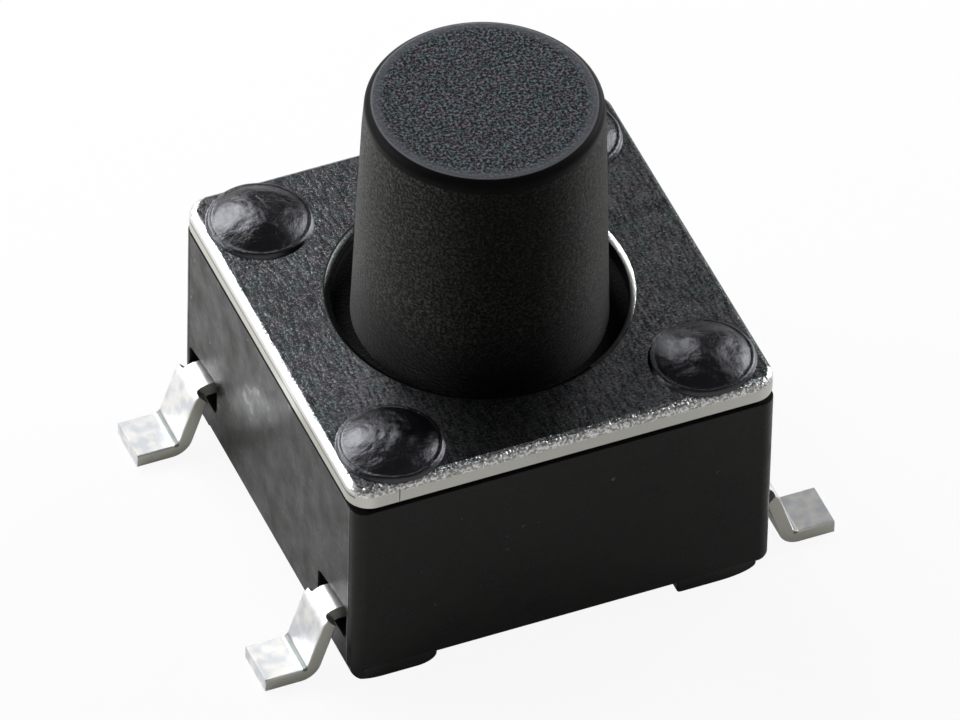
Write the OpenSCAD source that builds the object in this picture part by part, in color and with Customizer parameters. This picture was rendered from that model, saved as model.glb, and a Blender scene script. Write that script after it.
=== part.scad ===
// Tactile push button switch: square surface-mount housing with a tall round button.
// Millimetres, +Z up along the button's axis, +X across the two sides that carry the leads.
// The origin is the middle of the footprint, on the plane that the solder feet stand on.

/* [Housing] */
// Width of the housing, across the two lead sides
body_w = 5.96; // [5.6:0.02:7]
// Depth of the housing, along the lead sides
body_d = 5.96; // [5.6:0.02:7]
// Height of the housing, from its underside to the rim that carries the cover
body_h = 2.98; // [2.7:0.02:4.5]
// Radius of the housing's four upright edges
body_corner_r = 0.2; // [0.05:0.05:0.4]
// Plastic that covers the terminal strips below the floor of the well
floor_cover = 0.2; // [0.1:0.05:0.4]
// Depth of the dome's seat below the ledge in the well
dome_seat_h = 0.5; // [0.4:0.05:0.8]
// Width of the ledge around the dome's seat
dome_ledge = 0.2; // [0.1:0.05:0.4]

/* [Stand-off pads] */
// Length of a pad, along the width of the housing
pad_l = 1.0; // [0.6:0.05:1.4]
// Width of a pad, along the depth of the housing
pad_w = 0.9; // [0.5:0.05:1.4]
// Height of a pad below the underside
pad_h = 0.17; // [0.1:0.01:0.4]
// Distance from the left lead side to the nearest pad
pad_inset_left = 0.13; // [0.1:0.01:0.6]
// Distance from the right lead side to the nearest pad
pad_inset_right = 0.35; // [0.1:0.01:0.6]
// Height of the pads above the plane of the feet
pad_lift = 0.09; // [0.02:0.01:0.15]
// Bevel along the two ends of a pad
pad_bevel = 0.08; // [0.02:0.01:0.1]

/* [Corner posts] */
// Distance from a lead side to the middle of a post
post_inset_x = 0.78; // [0.7:0.01:0.9]
// Distance from the front or rear side to the middle of a post
post_inset_y = 0.73; // [0.7:0.01:0.9]
// Diameter of a post below its melted head
post_d = 0.9; // [0.6:0.05:1]
// Diameter of a melted head
head_d = 1.38; // [1.1:0.02:1.4]
// Height of a melted head above the cover
head_h = 0.22; // [0.12:0.01:0.35]
// Height of the upright rim of a melted head
head_rim_h = 0.07; // [0.03:0.01:0.1]

/* [Cover plate] */
// Thickness of the cover plate
plate_t = 0.3; // [0.2:0.02:0.5]
// Overhang of the cover plate beyond the housing
plate_overhang = 0.02; // [0:0.01:0.1]
// Radius of the cover plate's corners
plate_corner_r = 0.33; // [0.2:0.01:0.5]
// Width of the rolled edge around the cover plate's top
edge_w = 0.1; // [0.05:0.01:0.15]
// Height of the rolled edge around the cover plate's top
edge_h = 0.06; // [0.03:0.01:0.1]
// Radial gap between a post and its hole
post_clear = 0.02; // [0.01:0.01:0.05]

/* [Button] */
// Height of the button above the cover plate
button_h = 3.41; // [1.2:0.01:9]
// Diameter of the button where it comes through the cover plate
button_base_d = 3.38; // [3:0.02:3.6]
// Diameter of the button at its top
button_top_d = 3.14; // [2.6:0.02:3.3]
// Radius of the button's top edge
button_edge_r = 0.14; // [0.05:0.01:0.3]
// Travel of the button until the dome meets the centre contact
button_travel = 0.25; // [0.15:0.01:0.35]
// Radial gap between the button and the hole in the cover plate
hole_gap = 0.3; // [0.15:0.01:0.4]
// Width of the flange that holds the button in, beyond the hole
flange_lip = 0.31; // [0.2:0.01:0.4]
// Thickness of the flange
flange_t = 0.6; // [0.4:0.05:0.8]
// Radial gap between the flange and the well
flange_clear = 0.1; // [0.05:0.01:0.15]
// Free play of the button, above its flange and again below its nub
button_play = 0.02; // [0.01:0.01:0.04]
// Diameter of the nub that presses the dome
nub_d = 1.4; // [1:0.1:2]

/* [Snap dome] */
// Thickness of the dome
dome_t = 0.07; // [0.04:0.01:0.1]
// Radial gap between the dome and its seat
dome_clear = 0.1; // [0.05:0.01:0.15]

/* [Terminals] */
// Width of a lead
lead_w = 0.7; // [0.5:0.05:0.9]
// Thickness of the terminal metal
lead_t = 0.2; // [0.12:0.01:0.25]
// Distance between the two leads on one side
lead_pitch = 4.5; // [4:0.1:4.6]
// Height of the middle of the metal where a lead leaves the housing
lead_exit_z = 0.96; // [0.8:0.02:1.1]
// Reach of the feet beyond the housing's sides
lead_reach = 1.07; // [0.95:0.01:1.6]
// Lean of a lead's leg away from upright, in degrees
lead_lean = 18; // [5:1:25]
// Radius of the bends, at the middle of the metal
bend_r = 0.2; // [0.15:0.01:0.25]
// Depth of the notch in each edge of a lead, where it leaves the housing
neck_notch = 0.12; // [0.04:0.01:0.15]
// How far round a lead's upper bend its notches run, in degrees
neck_turn = 42; // [20:1:60]
// Height of the contacts above the floor of the well
contact_h = 0.04; // [0.02:0.01:0.08]
// Diameter of the centre contact
centre_contact_d = 1.2; // [0.9:0.1:1.4]
// Width of a rim contact, across the dome's rim
rim_contact_w = 0.6; // [0.4:0.05:0.8]
// Length of a rim contact, along the dome's rim
rim_contact_l = 0.8; // [0.5:0.05:1]
// Width of the arm from a terminal's strip to the centre contact
arm_w = 0.8; // [0.5:0.05:1]

/* [Lead pockets] */
// Depth of the pocket around a lead
pocket_depth = 0.25; // [0.15:0.01:0.4]
// Gap between a lead and each side of its pocket
pocket_side_gap = 0.14; // [0.05:0.01:0.15]
// Gap above a lead in its pocket
pocket_top_gap = 0.16; // [0.03:0.01:0.2]
// Gap below a lead in its pocket
pocket_low_gap = 0.15; // [0.1:0.01:0.4]

/* [Hidden] */
$fn = 64;
cut = 1;             // how far a cutting shape runs past the surface that it opens
arc_steps = 8;       // flats in a bend of the metal or in the button's top edge
sides = [-1, 1];

underside_z = pad_lift + pad_h;
rim_z = underside_z + body_h;
plate_top_z = rim_z + plate_t;
button_top_z = plate_top_z + button_h;

strip_low_z = lead_exit_z - lead_t / 2;
strip_top_z = lead_exit_z + lead_t / 2;
floor_z = strip_top_z + floor_cover;
contact_z = floor_z + contact_h;
ledge_z = floor_z + dome_seat_h;

plate_w = body_w + 2 * plate_overhang;
plate_d = body_d + 2 * plate_overhang;
hole_d = button_base_d + 2 * hole_gap;
flange_d = hole_d + 2 * flange_lip;
well_d = flange_d + 2 * flange_clear;
seat_d = well_d - 2 * dome_ledge;
dome_d = seat_d - 2 * dome_clear;
dome_rise = button_travel + dome_t;
dome_top_z = contact_z + dome_rise;
flange_top_z = rim_z - button_play;
flange_low_z = flange_top_z - flange_t;
nub_low_z = dome_top_z + button_play;

post_x = body_w / 2 - post_inset_x;
post_y = body_d / 2 - post_inset_y;
lead_y = lead_pitch / 2;
rim_contact_x = (dome_d - rim_contact_w) / 2;

// A lead bends down from the housing's side, leans out to its heel, and bends into the foot
knee_x = body_w / 2 + bend_r * cos(lead_lean);
knee_z = lead_exit_z - bend_r * (1 - sin(lead_lean));
heel_z = lead_t / 2 + bend_r * (1 - sin(lead_lean));
heel_x = knee_x + (knee_z - heel_z) * tan(lead_lean);
foot_x = heel_x + bend_r * cos(lead_lean);
foot_end_x = body_w / 2 + lead_reach;

// Radius of the sphere whose cap has this base diameter and this height
function cap_r(d, h) = (d * d / 4 + h * h) / (2 * h);

// Points along an arc about [x, z], from one angle to another
function arc(x, z, r, from, to) =
    [for (i = [0 : arc_steps])
        let (a = from + (to - from) * i / arc_steps)
        [x + r * cos(a), z + r * sin(a)]];

// A block that stands on z, with round upright edges
module rounded_block(w, d, h, r, z) {
    translate([0, 0, z])
        linear_extrude(h)
            union() {
                square([w - 2 * r, d], center = true);
                square([w, d - 2 * r], center = true);
                for (sx = sides, sy = sides)
                    translate([sx * (w / 2 - r), sy * (d / 2 - r)])
                        circle(r);
            }
}

// Its children, once at each corner post
module at_posts() {
    for (sx = sides, sy = sides)
        translate([sx * post_x, sy * post_y, 0])
            children();
}

// ---- Base: the moulded housing, its pads, and the posts melted over the cover ----

module corner_post() {
    translate([0, 0, rim_z - cut])
        cylinder(d = post_d, h = plate_t + cut);
    translate([0, 0, plate_top_z])
        cylinder(d = head_d, h = head_rim_h);
    cap_h = head_h - head_rim_h;
    cap_radius = cap_r(head_d, cap_h);
    intersection() {
        translate([0, 0, plate_top_z + head_h - cap_radius])
            sphere(cap_radius);
        translate([0, 0, plate_top_z + head_rim_h])
            cylinder(d = head_d, h = cap_h);
    }
}

// Seen from the front, a pad is a block whose ends are bevelled at the bottom
module standoff_pad() {
    half = pad_l / 2;
    rotate([90, 0, 0])
        linear_extrude(pad_w)
            polygon([[-half, underside_z], [-half, pad_lift + pad_bevel], [pad_bevel - half, pad_lift],
                     [half - pad_bevel, pad_lift], [half, pad_lift + pad_bevel], [half, underside_z]]);
}

// Four pads, kept within the housing's rounded outline
module standoff_pads() {
    intersection() {
        rounded_block(body_w, body_d, pad_h, body_corner_r, pad_lift);
        for (sx = sides, sy = sides) {
            inset = sx < 0 ? pad_inset_left : pad_inset_right;
            translate([sx * (body_w / 2 - inset - pad_l / 2), sy * body_d / 2, 0])
                mirror([0, sy < 0 ? 1 : 0, 0])
                    standoff_pad();
        }
    }
}

// The stepped well: a wide bore for the button's flange, a ledge, and the dome's seat
module well() {
    translate([0, 0, ledge_z])
        cylinder(d = well_d, h = rim_z - ledge_z + cut);
    translate([0, 0, floor_z])
        cylinder(d = seat_d, h = rim_z - floor_z);
}

// The recess in a lead side, around one lead
module lead_pocket() {
    low_z = strip_low_z - pocket_low_gap;
    pocket_w = lead_w + 2 * pocket_side_gap;
    translate([body_w / 2 - pocket_depth, -pocket_w / 2, low_z])
        cube([pocket_depth + cut, pocket_w, strip_top_z + pocket_top_gap - low_z]);
}

module base() {
    color("#2b2b2d")
        difference() {
            union() {
                rounded_block(body_w, body_d, body_h, body_corner_r, underside_z);
                standoff_pads();
                at_posts() corner_post();
            }
            well();
            for (sx = sides, sy = sides)
                translate([0, sy * lead_y, 0])
                    mirror([sx < 0 ? 1 : 0, 0, 0])
                        lead_pocket();
            centre_terminal_shape();
            outer_terminal_shape();
        }
}

// ---- Terminals: two stampings moulded into the base, each with two gull-wing leads ----

// Side view of the metal on one side: out of the housing, down the leg, and along the foot
module lead_outline() {
    outer_r = bend_r + lead_t / 2;
    inner_r = bend_r - lead_t / 2;
    knee_centre_z = lead_exit_z - bend_r;
    heel_centre_z = lead_t / 2 + bend_r;
    polygon(concat(
        [[0, strip_top_z]],
        arc(body_w / 2, knee_centre_z, outer_r, 90, lead_lean),
        arc(foot_x, heel_centre_z, inner_r, 180 + lead_lean, 270),
        [[foot_end_x, lead_t], [foot_end_x, 0]],
        arc(foot_x, heel_centre_z, outer_r, 270, 180 + lead_lean),
        arc(body_w / 2, knee_centre_z, inner_r, lead_lean, 90),
        [[0, strip_low_z]]
    ));
}

// Side view of a notch: from the bottom of the pocket to part way round the upper bend
module notch_outline() {
    back_x = body_w / 2 - pocket_depth;
    centre_z = lead_exit_z - bend_r;
    reach = bend_r + lead_t;
    polygon([[back_x, centre_z], [body_w / 2, centre_z],
             [body_w / 2 + reach * sin(neck_turn), centre_z + reach * cos(neck_turn)],
             [body_w / 2, centre_z + 2 * reach], [back_x, centre_z + 2 * reach]]);
}

// A strip across the housing with a lead at each end; notches narrow the neck of each lead
module strip_with_leads() {
    for (sx = sides)
        mirror([sx < 0 ? 1 : 0, 0, 0])
            rotate([90, 0, 0])
                difference() {
                    linear_extrude(lead_w, center = true)
                        lead_outline();
                    for (edge = sides)
                        translate([0, 0, edge * lead_w / 2])
                            linear_extrude(2 * neck_notch, center = true)
                                notch_outline();
                }
}

module centre_terminal_shape() {
    translate([0, lead_y, 0])
        strip_with_leads();
    translate([-arm_w / 2, 0, strip_low_z])
        cube([arm_w, lead_y, lead_t]);
    translate([0, 0, strip_low_z])
        cylinder(d = centre_contact_d, h = contact_z - strip_low_z);
}

module outer_terminal_shape() {
    translate([0, -lead_y, 0])
        strip_with_leads();
    for (sx = sides)
        translate([sx * rim_contact_x - rim_contact_w / 2, 0, strip_low_z]) {
            translate([0, -lead_y, 0])
                cube([rim_contact_w, lead_y, lead_t]);
            translate([0, -rim_contact_l / 2, 0])
                cube([rim_contact_w, rim_contact_l, contact_z - strip_low_z]);
        }
}

module centre_terminal() {
    color("#c9c9c4")
        centre_terminal_shape();
}

module outer_terminal() {
    color("#c9c9c4")
        outer_terminal_shape();
}

// ---- Snap dome: a shallow sprung disc that stands on the two rim contacts ----

module snap_dome() {
    outer_r = cap_r(dome_d, dome_rise);
    inner_r = outer_r - dome_t;
    centre_z = dome_top_z - outer_r;
    drop = contact_z - centre_z;
    color("#b9babb")
        rotate_extrude()
            polygon(concat(
                arc(0, centre_z, outer_r, asin(drop / outer_r), 90),
                arc(0, centre_z, inner_r, 90, asin(drop / inner_r))
            ));
}

// ---- Button: one turned shape, from the nub on the dome up to the rounded top ----

// Radius of the tapered button at height z
function button_r(z) =
    (button_base_d + (button_top_d - button_base_d) * (z - plate_top_z) / button_h) / 2;

module button() {
    taper = atan((button_base_d - button_top_d) / 2 / button_h);
    color("#2f2f31")
        rotate_extrude()
            polygon(concat(
                [[0, nub_low_z], [nub_d / 2, nub_low_z], [nub_d / 2, flange_low_z],
                 [flange_d / 2, flange_low_z], [flange_d / 2, flange_top_z],
                 [button_r(flange_top_z), flange_top_z]],
                arc(button_top_d / 2 - button_edge_r, button_top_z - button_edge_r,
                    button_edge_r, taper, 90),
                [[0, button_top_z]]
            ));
}

// ---- Cover plate: a stamped square with a rolled top edge ----

// A bar along X with the plate's section: upright sides and a sloped top edge
module edged_bar(length, width) {
    rotate([90, 0, 90])
        linear_extrude(length, center = true)
            polygon([[-width / 2, 0], [width / 2, 0], [width / 2, plate_t - edge_h],
                     [width / 2 - edge_w, plate_t], [edge_w - width / 2, plate_t],
                     [-width / 2, plate_t - edge_h]]);
}

module edged_corner() {
    rotate_extrude()
        polygon([[0, 0], [plate_corner_r, 0], [plate_corner_r, plate_t - edge_h],
                 [plate_corner_r - edge_w, plate_t], [0, plate_t]]);
}

module cover_plate() {
    color("#55585b")
        difference() {
            translate([0, 0, rim_z])
                union() {
                    edged_bar(plate_w - 2 * plate_corner_r, plate_d);
                    rotate([0, 0, 90])
                        edged_bar(plate_d - 2 * plate_corner_r, plate_w);
                    for (sx = sides, sy = sides)
                        translate([sx * (plate_w / 2 - plate_corner_r),
                                   sy * (plate_d / 2 - plate_corner_r), 0])
                            edged_corner();
                }
            translate([0, 0, rim_z - cut])
                cylinder(d = hole_d, h = plate_t + 2 * cut);
            at_posts()
                translate([0, 0, rim_z - cut])
                    cylinder(d = post_d + 2 * post_clear, h = plate_t + 2 * cut);
        }
}

base();
centre_terminal();
outer_terminal();
snap_dome();
button();
cover_plate();
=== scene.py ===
# A tactile push button switch for surface mounting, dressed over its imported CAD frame.
# Pieces are made in millimetres and turned to metres when they are finished.
import math

import bmesh
import bpy
from mathutils import Matrix, Vector


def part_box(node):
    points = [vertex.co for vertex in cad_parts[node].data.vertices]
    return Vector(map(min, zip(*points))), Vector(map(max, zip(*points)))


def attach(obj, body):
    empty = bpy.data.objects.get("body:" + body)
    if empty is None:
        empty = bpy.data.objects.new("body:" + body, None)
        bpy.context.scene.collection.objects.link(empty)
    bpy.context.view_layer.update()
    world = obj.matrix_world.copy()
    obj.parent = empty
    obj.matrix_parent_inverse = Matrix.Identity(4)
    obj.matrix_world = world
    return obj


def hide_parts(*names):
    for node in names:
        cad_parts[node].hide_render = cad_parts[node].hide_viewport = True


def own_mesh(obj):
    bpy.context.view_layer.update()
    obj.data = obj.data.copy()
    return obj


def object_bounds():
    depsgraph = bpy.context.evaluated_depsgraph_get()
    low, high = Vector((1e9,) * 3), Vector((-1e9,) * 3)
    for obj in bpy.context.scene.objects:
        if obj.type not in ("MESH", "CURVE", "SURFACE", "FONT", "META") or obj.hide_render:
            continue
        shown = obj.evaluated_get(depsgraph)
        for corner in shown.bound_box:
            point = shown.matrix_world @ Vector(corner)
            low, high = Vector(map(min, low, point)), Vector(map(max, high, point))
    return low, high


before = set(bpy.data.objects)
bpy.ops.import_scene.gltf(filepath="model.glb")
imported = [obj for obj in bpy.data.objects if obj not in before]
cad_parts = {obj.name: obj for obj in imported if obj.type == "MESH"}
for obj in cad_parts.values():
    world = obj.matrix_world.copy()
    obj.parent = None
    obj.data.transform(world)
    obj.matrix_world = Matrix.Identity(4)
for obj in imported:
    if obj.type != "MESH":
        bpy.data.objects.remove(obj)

cad_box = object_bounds()


# ---- Base moulding --------------------------------------------------------------------
# One black moulding of glass-filled nylon: four walls round a stepped well, four stand-off
# pads flush with the front and rear faces, a pocket round each lead, and four corner posts.
# The metal terminals are moulded into it, so it is the first piece to be made.

def corners(name):
    """Lowest and highest corner of a CAD node, in millimetres."""
    return [corner * 1000 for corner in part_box(name)]


def rounded_square(half_w, half_d, radius, height, steps=12):
    """A level ring of points round a square with round corners, counterclockwise from above."""
    ring = []
    for turn, (sx, sy) in enumerate(((1, 1), (-1, 1), (-1, -1), (1, -1))):
        for step in range(steps + 1):
            angle = math.pi / 2 * (turn + step / steps)
            ring.append(Vector((sx * (half_w - radius) + radius * math.cos(angle),
                                sy * (half_d - radius) + radius * math.sin(angle), height)))
    return ring


def circle(radius, height, x=0.0, y=0.0, count=96):
    """A level ring of points round a circle."""
    return [Vector((x + radius * math.cos(2 * math.pi * i / count),
                    y + radius * math.sin(2 * math.pi * i / count), height)) for i in range(count)]


def loft(name, rings):
    """A closed solid through rings of equally many points, from the lowest ring to the highest."""
    shape = bmesh.new()
    rows = [[shape.verts.new(point) for point in ring] for ring in rings]
    for low, high in zip(rows, rows[1:]):
        for i in range(len(low)):
            j = (i + 1) % len(low)
            shape.faces.new((low[i], low[j], high[j], high[i]))
    shape.faces.new(rows[0][::-1])
    shape.faces.new(rows[-1])
    mesh = bpy.data.meshes.new(name)
    shape.to_mesh(mesh)
    shape.free()
    piece = bpy.data.objects.new(name, mesh)
    bpy.context.scene.collection.objects.link(piece)
    return piece


def combine(piece, operation, *others):
    """Adds the other solids to a piece, or cuts them out of it."""
    for other in others:
        change = piece.modifiers.new(other.name, "BOOLEAN")
        change.operation = operation
        change.object = other
        change.solver = "EXACT"
        other.hide_render = True


def plain_mesh(piece):
    """Puts a piece's modifiers into its mesh, and makes its faces point outwards."""
    graph = bpy.context.evaluated_depsgraph_get()
    mesh = bpy.data.meshes.new_from_object(piece.evaluated_get(graph), depsgraph=graph)
    spent = [change.object for change in piece.modifiers if change.type == "BOOLEAN"]
    piece.modifiers.clear()
    for other in spent:
        bpy.data.objects.remove(other)
    shape = bmesh.new()
    shape.from_mesh(mesh)
    bmesh.ops.remove_doubles(shape, verts=shape.verts, dist=0.0002)
    bmesh.ops.recalc_face_normals(shape, faces=shape.faces)
    shape.to_mesh(mesh)
    shape.free()
    piece.data = mesh


def finish(piece, body, slot, *nodes):
    """Smooths a piece by the size of its faces, turns it to metres, and hands it to its body."""
    piece.data.shade_smooth()
    piece.data.set_sharp_from_angle(angle=math.radians(38))
    smooth = piece.modifiers.new("smooth", "WEIGHTED_NORMAL")
    smooth.keep_sharp = True
    graph = bpy.context.evaluated_depsgraph_get()
    piece.data = bpy.data.meshes.new_from_object(piece.evaluated_get(graph), depsgraph=graph)
    piece.modifiers.clear()
    piece.data.transform(Matrix.Scale(0.001, 4))
    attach(piece, body)
    if nodes:
        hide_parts(*nodes)


base_low, base_high = corners("base")
plate_low, plate_high = corners("cover_plate")
strip_high = corners("centre_terminal")[1]
half_w, half_d = base_high.x, base_high.y
corner_radius = 0.2                      # of the moulding's four upright edges
underside = base_low.z + 0.17            # the pads stand 0.17 mm below the underside
rim = plate_low.z                        # top of the walls, where the plate rests
groove_foot = rim - 0.1                  # foot of the groove that runs round below the plate
lead_y = 2.25                            # half of the 4.5 mm lead pitch
lead_width = 0.7
metal = 0.2                              # thickness of the terminal metal
exit_z = 0.96                            # middle of the metal where it leaves the moulding
floor_z = 1.26                           # floor of the dome's seat

base = loft("base_moulding", [
    rounded_square(half_w - inset, half_d - inset, corner_radius - inset, height)
    for inset, height in ((0.05, underside), (0.015, underside + 0.015), (0, underside + 0.05),
                          (0, groove_foot), (0.015, groove_foot + 0.014), (0.05, groove_foot + 0.02),
                          (0.09, groove_foot + 0.022), (0.09, rim))])

# The stand-off pads: blocks with round lower edges, seen here from the front and drawn along Y.
# Their outer ends sweep up towards the corners, and the body's outline trims them.
pad_reach, sweep_height = 0.9, 0.15
quarter = [math.pi / 2 * i / 8 for i in range(9)]
for left, right, run_left, run_right in ((-half_w + 0.02, -half_w + 1.2, 0.4, 0.26),
                                         (half_w - 1.35, half_w - 0.22, 0.06, 0.5)):
    for sy in (-1, 1):
        rings = []
        for inset, depth in ((0.03, -0.01), (0.0, 0.02), (0.0, pad_reach - 0.03), (0.03, pad_reach)):
            low = base_low.z + inset
            outline = [(right - inset, underside + 0.3), (left + inset, underside + 0.3)]
            rise_left, rise_right = min(run_left, sweep_height), min(run_right, sweep_height)
            outline += [(left + inset + run_left * (1 - math.cos(a)), low + rise_left * (1 - math.sin(a)))
                        for a in quarter]
            outline += [(right - inset - run_right * (1 - math.sin(a)), low + rise_right * (1 - math.cos(a)))
                        for a in quarter]
            rings.append([Vector((x, sy * (half_d - depth), z)) for x, z in outline])
        pad = loft("pad", rings if sy < 0 else rings[::-1])
        combine(pad, "INTERSECT", loft("trim", [
            rounded_square(half_w - 0.001, half_d - 0.001, corner_radius, height) for height in (0, 1)]))
        plain_mesh(pad)
        combine(base, "UNION", pad)

# The posts come up through the plate; the heads that close them are melted from their ends
post_x, post_y, post_radius = 2.2, 2.25, 0.45
for sx in (-1, 1):
    for sy in (-1, 1):
        combine(base, "UNION", loft("post", [
            circle(post_radius, height, sx * post_x, sy * post_y, 48)
            for height in (rim - 0.4, plate_high.z + 0.05)]))

# The well: a wide bore for the button's flange, a ledge, and the dome's seat
seat_radius, ledge_z, well_radius, mouth_radius = 2.2, 1.76, 2.4, 2.44
combine(base, "DIFFERENCE", loft("well", [
    circle(radius, height) for radius, height in
    ((seat_radius, floor_z), (seat_radius, ledge_z), (well_radius, ledge_z + 0.002),
     (well_radius, rim - 0.04), (mouth_radius, rim), (mouth_radius, rim + 0.4))]))

# A lead's pocket has round corners and a worn mouth, and its top edge rises towards the front
side_gap, gap_below, gap_above, slope = 0.12, 0.15, 0.12, 0.6
for sx in (-1, 1):
    for sy in (-1, 1):
        low, high = exit_z - metal / 2 - gap_below, exit_z + metal / 2 + gap_above
        rings = []
        for grown, x in ((0.0, half_w - 0.25), (0.0, half_w - 0.03), (0.02, half_w), (0.02, half_w + 0.4)):
            ring = rounded_square(lead_width / 2 + side_gap + grown, (high - low) / 2 + grown, 0.1, 0, 5)
            rings.append([Vector((sx * x, sx * p.x + sy * lead_y,
                                  p.y + (low + high) / 2 - max(p.y, 0) * slope * sx * p.x)) for p in ring])
        combine(base, "DIFFERENCE", loft("pocket", rings))
plain_mesh(base)


def node(tree, kind, inputs=None, **settings):
    """Adds a node with its settings, values and links. A node as a value means its first output."""
    made = tree.nodes.new(kind)
    for name, value in settings.items():
        setattr(made, name, value)
    for socket, value in (inputs or {}).items():
        if isinstance(value, bpy.types.Node):
            value = value.outputs[0]
        if isinstance(value, bpy.types.NodeSocket):
            tree.links.new(value, made.inputs[socket])
        else:
            made.inputs[socket].default_value = value
    return made


def new_material(name):
    """An empty material, its tree, and the object coordinates that its patterns read."""
    material = bpy.data.materials.new(name)
    material.use_nodes = True
    material.node_tree.nodes.clear()
    return material, material.node_tree, node(material.node_tree, "ShaderNodeTexCoord").outputs["Object"]


def linear(colour):
    """An sRGB hex colour as linear light."""
    parts = [int(colour[i:i + 2], 16) / 255 for i in (1, 3, 5)]
    return [p / 12.92 if p <= 0.04045 else ((p + 0.055) / 1.055) ** 2.4 for p in parts] + [1]


def grain(mm):
    """Noise scale, in waves to the metre, for a pattern whose marks are this many millimetres wide."""
    return 1000 / mm


def from_axis(tree, place):
    """How far a point lies from the button's upright axis."""
    flat = node(tree, "ShaderNodeVectorMath", {0: place, 1: (1, 1, 0)}, operation="MULTIPLY")
    return node(tree, "ShaderNodeVectorMath", {0: flat}, operation="LENGTH").outputs["Value"]


# Black nylon as it leaves a polished mould: deep black, satin, with faint cloudy flow and fine
# pits. A low refractive index keeps the front dark, while the side seen at a slant turns grey.
# A thin parting line stands up beside each round upright edge, the groove below the plate is
# dull and painted black as painted shade, and dust lies here and there, with one fleck on the front.
fleck_centre, fleck_radius = Vector((0.66, -half_d, 2.55)), 0.03
nylon, tree, place = new_material("black nylon, moulded")
spot = node(tree, "ShaderNodeSeparateXYZ", {"Vector": place})
cloud = node(tree, "ShaderNodeTexNoise", {"Vector": place, "Scale": grain(0.5), "Detail": 5.0,
                                          "Roughness": 0.6})
pits = node(tree, "ShaderNodeTexNoise", {"Vector": place, "Scale": grain(0.07), "Detail": 4.0})
dust = node(tree, "ShaderNodeTexNoise", {"Vector": place, "Scale": grain(0.11), "Detail": 0.0})
flow = node(tree, "ShaderNodeMapRange", {"Value": cloud, "From Min": 0.35, "From Max": 0.65})
tone = node(tree, "ShaderNodeMix", {"Factor": flow, 6: linear("#0e0e0f"), 7: linear("#1f1f1d")},
            data_type="RGBA")
dusty = node(tree, "ShaderNodeMapRange", {"Value": dust, "From Min": 0.845, "From Max": 0.86, "To Max": 0.3})
fleck = node(tree, "ShaderNodeVectorMath", {0: place, 1: fleck_centre / 1000}, operation="DISTANCE")
fleck = node(tree, "ShaderNodeMapRange",
             {"Value": fleck.outputs["Value"], "From Min": (fleck_radius - 0.004) / 1000,
              "From Max": (fleck_radius + 0.004) / 1000, "To Min": 1.0, "To Max": 0.0})
dusty = node(tree, "ShaderNodeMath", {0: dusty, 1: fleck}, operation="MAXIMUM")
tone = node(tree, "ShaderNodeMix", {"Factor": dusty, 6: tone.outputs[2], 7: linear("#dcdcd4")},
            data_type="RGBA")
sheen = node(tree, "ShaderNodeMapRange", {"Value": cloud, "From Min": 0.35, "From Max": 0.65, "To Min": 0.21,
                                          "To Max": 0.45})
# Painted shade: the groove below the plate is painted near black and made dull.
painted_groove_shade = node(tree, "ShaderNodeMapRange", {"Value": spot.outputs["Z"], "From Min": (groove_foot + 0.002) / 1000,
                                         "From Max": (groove_foot + 0.008) / 1000})
tone = node(tree, "ShaderNodeMix", {"Factor": painted_groove_shade, 6: tone.outputs[2], 7: linear("#020202")},
            data_type="RGBA")
sheen = node(tree, "ShaderNodeMix", {"Factor": painted_groove_shade, 2: sheen, 3: 0.9}, data_type="FLOAT")
aside = node(tree, "ShaderNodeMath", {0: spot.outputs["Y"]}, operation="ABSOLUTE")
aside = node(tree, "ShaderNodeMath", {0: aside, 1: (half_d - corner_radius) / 1000}, operation="SUBTRACT")
aside = node(tree, "ShaderNodeMath", {0: aside}, operation="ABSOLUTE")
parting = node(tree, "ShaderNodeMapRange", {"Value": aside, "From Max": 0.00003, "To Min": 3.0,
                                            "To Max": 0.0})
height = node(tree, "ShaderNodeMath", {0: pits, 1: parting}, operation="ADD")
relief = node(tree, "ShaderNodeBump", {"Height": height, "Strength": 0.7, "Distance": 0.000004})
shader = node(tree, "ShaderNodeBsdfPrincipled", {"Base Color": tone.outputs[2], "Roughness": sheen,
                                                 "Normal": relief, "IOR": 1.33,
                                                 "Specular Tint": (1.0, 0.985, 0.95, 1.0)})
node(tree, "ShaderNodeOutputMaterial", {"Surface": shader})
base.data.materials.append(nylon)
finish(base, "housing", "base_plastic", "base")


# ---- Terminals ------------------------------------------------------------------------
# Two stampings of silver-plated copper alloy. Each is a strip across the moulding whose ends
# are bent into gull-wing leads; an arm of one carries the centre contact, and two arms of the
# other carry the contacts below the dome's rim.

def new_tree(name, *sizes):
    """A Geometry Nodes tree that takes a mesh and named sizes, with its input and output nodes."""
    tree = bpy.data.node_groups.new(name, "GeometryNodeTree")
    tree.interface.new_socket("Geometry", in_out="OUTPUT", socket_type="NodeSocketGeometry")
    tree.interface.new_socket("Geometry", in_out="INPUT", socket_type="NodeSocketGeometry")
    for size, kind in sizes:
        tree.interface.new_socket(size, in_out="INPUT", socket_type=kind)
    return tree, node(tree, "NodeGroupInput").outputs


def grow(piece, tree, values):
    """Puts a tree on a piece and sets its named inputs."""
    change = piece.modifiers.new(tree.name, "NODES")
    change.node_group = tree
    for socket in tree.interface.items_tree:
        if socket.in_out == "INPUT" and socket.name in values:
            change[socket.identifier] = values[socket.name]
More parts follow.
